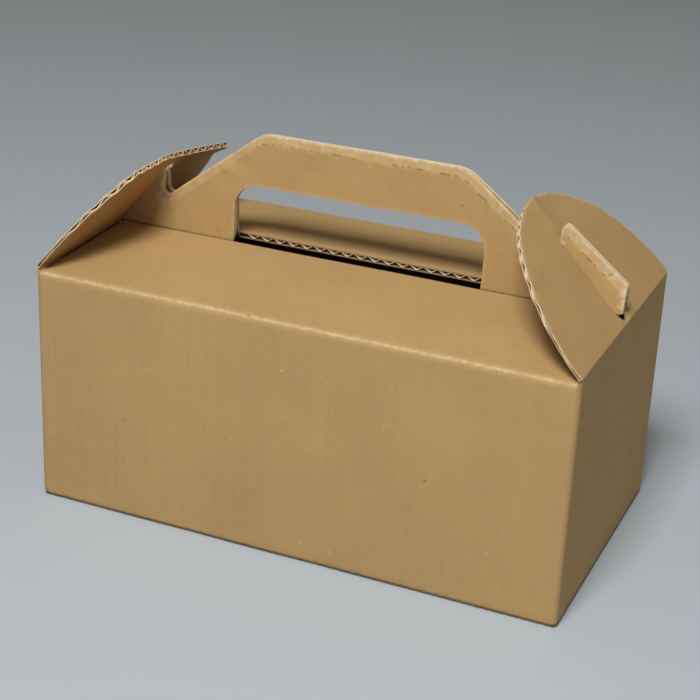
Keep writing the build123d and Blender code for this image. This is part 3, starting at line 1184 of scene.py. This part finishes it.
def flap_meshes(run, sizes, name, side, angle, bent):
    """The board and the fluted paper of one side flap."""
    notch_half = LEFT_NOTCH_HALF if bent else RIGHT_NOTCH_HALF
    slot_end = (HALF_LENGTH - notch_half) / cos(radians(angle)) + 0.5
    slot, slot_half = slot_loop(run, angle, slot_end)
    rim = flap_rim(side, bent)
    outline = rim + walk((-FLAP_HALF, FOLD_LINE), (FLAP_HALF, FOLD_LINE), 2.0)[1:]
    flat, faces = fill(outline, [slot], 2.6, flap_fine_points(rim, outline, slot))
    ring = slot + slot[:1]
    state = {point_key(p): flap_state(p, rim, ring, sizes, side) for p in flat}

    def shows_flutes(point):
        by_slot = abs(point.x) < slot_half + 1 and point.y < slot_end + 1
        return point.y > FOLD_LINE + 0.01 and not by_slot

    place = flap_place(side, angle, bent)
    layers = board_layers(
        sizes, lambda p: state[point_key(p)][0], lambda p: state[point_key(p)][1])
    board = board_mesh(
        flat, faces, place, layers, shows_flutes, BOARD_TAGS, lambda p: state[point_key(p)][2])
    middle = sizes.board / 2
    flutes = grow_flutes(
        f"{name}_flutes", lambda y, s, d: place(y, s, d - middle - sizes.medium / 2),
        papers()["kraft_medium"],
        {
            "Half Span": FLAP_HALF - 1.0, "Pitch": sizes.pitch, "Rise": flute_rise(sizes),
            "Thickness": sizes.medium, "Reach": FLAP_REACH - 0.1, "Outline Half": FLAP_HALF,
            "Fullness": FLAP_FULLNESS, "Start": FLUTE_START, "Slot Half": slot_half + SLOT_RIM,
            "Slot End": slot_end + SLOT_RIM, "Columns": 360, "Rows": 16,
            "Cut Reach": BENT_REACH - 0.1 if bent else FLAP_REACH,
            "Cut Slope": BENT_SLOPE if bent else 0.0,
        })
    return board, flutes


class GABLE_OT_side_flaps(bpy.types.Operator):
    """Adds the two rounded side flaps with their fluted edges and slots"""

    bl_idname = "gable_box.side_flaps"
    bl_label = "Side Flaps"

    def execute(self, context):
        sizes = context.scene.gable_box_sizes
        run = LongRun(sizes)
        for name, side, angle, bent in (
            ("right", 1, RIGHT_FLAP_ANGLE, False), ("left", -1, LEFT_FLAP_ANGLE, True),
        ):
            board, flutes = flap_meshes(run, sizes, name, side, angle, bent)
            finish_piece(
                f"{name}_flap_liners", [board], board_papers(),
                f"{name}_flap", [f"side_flap_{name}"])
            finish_piece(
                f"{name}_flap_flutes", [flutes], [papers()["kraft_medium"]], f"{name}_flap")
        return {"FINISHED"}


# Bottom

BOTTOM_OVERLAP = 8.0
BOTTOM_REACH = 58.0
BOTTOM_TAPER = 24.0
BOTTOM_GAP = 1.0
BOTTOM_NOTCH_HALF = 42
BOTTOM_NOTCH_FLOOR = 10
TONGUE_HALF = 38
TONGUE_END = 26
TONGUE_CLIMB = 5


def bottom_flaps(sizes):
    """The snap lock's flaps from the ground up: level, corners, mirror sign, and if it climbs."""
    inner_half = HALF_LENGTH - sizes.board
    depth_half = HALF_WIDTH - sizes.board
    side_end = inner_half - BOTTOM_REACH
    back_end = side_end - BOTTOM_GAP
    step = BOTTOM_OVERLAP + BOTTOM_GAP
    front = [
        (-inner_half, -depth_half, 0), (inner_half, -depth_half, 0),
        (inner_half - BOTTOM_TAPER, BOTTOM_OVERLAP, 3),
        (-inner_half + BOTTOM_TAPER, BOTTOM_OVERLAP, 3),
    ]
    side = [
        (inner_half, -depth_half, 0), (inner_half, depth_half, 0),
        (side_end, BOTTOM_OVERLAP, 3), (side_end, -BOTTOM_OVERLAP, 3),
    ]
    back = [
        (inner_half - BOTTOM_GAP, depth_half, 0), (-inner_half + BOTTOM_GAP, depth_half, 0),
        (-back_end, step, 2), (-back_end, -BOTTOM_OVERLAP, 3),
        (-BOTTOM_NOTCH_HALF, -BOTTOM_OVERLAP, 3), (-BOTTOM_NOTCH_HALF, BOTTOM_NOTCH_FLOOR, 3),
        (BOTTOM_NOTCH_HALF, BOTTOM_NOTCH_FLOOR, 3), (BOTTOM_NOTCH_HALF, -BOTTOM_OVERLAP, 3),
        (back_end, -BOTTOM_OVERLAP, 3), (back_end, step, 2),
    ]
    tongue = [
        (-TONGUE_HALF, BOTTOM_OVERLAP, 0), (TONGUE_HALF, BOTTOM_OVERLAP, 0),
        (TONGUE_HALF, TONGUE_END, 6), (-TONGUE_HALF, TONGUE_END, 6),
    ]
    return (
        (0, front, 1, False), (1, side, 1, False), (1, side, -1, False),
        (1, back, 1, False), (0, tongue, 1, True),
    )


class GABLE_OT_bottom(bpy.types.Operator):
    """Adds the interlocked flaps that close the bottom"""

    bl_idname = "gable_box.bottom"
    bl_label = "Bottom Flaps"

    def execute(self, context):
        sizes = context.scene.gable_box_sizes
        meshes = []
        for level, corners, mirrored, climbs in bottom_flaps(sizes):
            loop = rounded(corners, 6.0)
            steps = [(x, y) for x in range(-36, 37, 6) for y in range(9, 15)] if climbs else []
            flat, faces = fill(loop, [], 8.0, steps)

            def place(x, y, d):
                share = max(0.0, min(1.0, (y - BOTTOM_OVERLAP) / TONGUE_CLIMB))
                climb = share * 2 * sizes.board if climbs else 0.0
                return Vector((mirrored * x, y, level * sizes.board + climb - d)) * MM

            meshes.append(board_mesh(
                flat, faces, place, [(lambda p: 0.0, 1), (lambda p: -sizes.board + 0.05, -1)],
                lambda p: False, SHEET_TAGS))
        finish_piece("bottom_flaps", meshes, board_papers(), "box")
        return {"FINISHED"}


# The stage: floor, lights and camera

FLOOR_HALF = 6.0
WORLD_COLOUR = (1.0, 0.90, 0.78)
WORLD_STRENGTH = 0.185
# Each light's name, its place, what it aims at, its size and its power
LIGHTS = (
    ("key_light", (0.13, -0.90, 1.38), (0, 0, 0.08), 0.5, 22.3),
    ("fill_light", (0.4, -1.7, 0.8), (0, 0, 0.05), 1.2, 1.5),
)
CAMERA_PLACE = (0.25998, -0.62871, 0.36425)
CAMERA_AZIMUTH = 22.62
CAMERA_ELEVATION = 23.33
CAMERA_ROLL = 2.72
CAMERA_LENS = 86.5
SENSOR = 36.0


def camera_turn():
    """The camera's turn from its azimuth, elevation and roll."""
    azimuth, elevation = radians(CAMERA_AZIMUTH), radians(CAMERA_ELEVATION)
    forward = Vector((
        -sin(azimuth) * cos(elevation), cos(azimuth) * cos(elevation), -sin(elevation)))
    level = forward.to_track_quat("-Z", "Y").to_matrix()
    return level @ Matrix.Rotation(radians(CAMERA_ROLL), 3, "Z")


class GABLE_OT_stage(bpy.types.Operator):
    """Adds the floor, the soft lights and the camera"""

    bl_idname = "gable_box.stage"
    bl_label = "Stage"

    def execute(self, context):
        scene = context.scene
        floor = bpy.data.objects.new("floor", bpy.data.meshes.new("floor"))
        sheet = bmesh.new()
        bmesh.ops.create_grid(sheet, x_segments=1, y_segments=1, size=FLOOR_HALF)
        sheet.to_mesh(floor.data)
        sheet.free()
        scene.collection.objects.link(floor)
        paint = bpy.data.materials.new("studio_floor")
        paint.use_nodes = True
        shader = paint.node_tree.nodes["Principled BSDF"]
        shader.inputs["Base Color"].default_value = (*scene.gable_box_colours.floor, 1)
        shader.inputs["Roughness"].default_value = 0.75
        shader.inputs["Specular IOR Level"].default_value = 0.2
        floor.data.materials.append(paint)

        world = bpy.data.worlds.new("studio")
        world.use_nodes = True
        background = world.node_tree.nodes["Background"]
        background.inputs["Color"].default_value = (*WORLD_COLOUR, 1)
        background.inputs["Strength"].default_value = WORLD_STRENGTH
        scene.world = world
        for name, place, aim, size, power in LIGHTS:
            lamp = bpy.data.lights.new(name, "AREA")
            lamp.size = size
            lamp.energy = power
            light = bpy.data.objects.new(name, lamp)
            light.location = place
            away = Vector(aim) - Vector(place)
            light.rotation_euler = away.to_track_quat("-Z", "Y").to_euler()
            scene.collection.objects.link(light)

        lens = bpy.data.cameras.new("camera")
        lens.lens = CAMERA_LENS
        lens.sensor_width = SENSOR
        camera = bpy.data.objects.new("camera", lens)
        camera.matrix_world = Matrix.Translation(CAMERA_PLACE) @ camera_turn().to_4x4()
        scene.collection.objects.link(camera)
        scene.camera = camera
        scene.view_settings.view_transform = "Standard"
        return {"FINISHED"}


class GABLE_PT_panel(bpy.types.Panel):
    """The gable box's steps, in the sidebar"""

    bl_idname = "GABLE_PT_panel"
    bl_label = "Gable Box"
    bl_space_type = "VIEW_3D"
    bl_region_type = "UI"
    bl_category = "Gable Box"

    def draw(self, context):
        for operator in OPERATORS:
            self.layout.operator(operator.bl_idname)
        for group in (context.scene.gable_box_sizes, context.scene.gable_box_colours):
            for name in group.bl_rna.properties.keys():
                if name not in ("rna_type", "name"):
                    self.layout.prop(group, name)


OPERATORS = (
    GABLE_OT_walls, GABLE_OT_roof_edges, GABLE_OT_side_flaps, GABLE_OT_bottom, GABLE_OT_stage,
)
CLASSES = (GableBoxSizes, GableBoxColours, *OPERATORS, GABLE_PT_panel)


def register():
    for item in CLASSES:
        bpy.utils.register_class(item)
    bpy.types.Scene.gable_box_sizes = bpy.props.PointerProperty(type=GableBoxSizes)
    bpy.types.Scene.gable_box_colours = bpy.props.PointerProperty(type=GableBoxColours)


def unregister():
    del bpy.types.Scene.gable_box_colours
    del bpy.types.Scene.gable_box_sizes
    for item in reversed(CLASSES):
        bpy.utils.unregister_class(item)


def main():
    register()
    bpy.ops.gable_box.walls()
    bpy.ops.gable_box.roof_edges()
    bpy.ops.gable_box.side_flaps()
    bpy.ops.gable_box.bottom()
    bpy.ops.gable_box.stage()


if __name__ == "__main__":
    main()
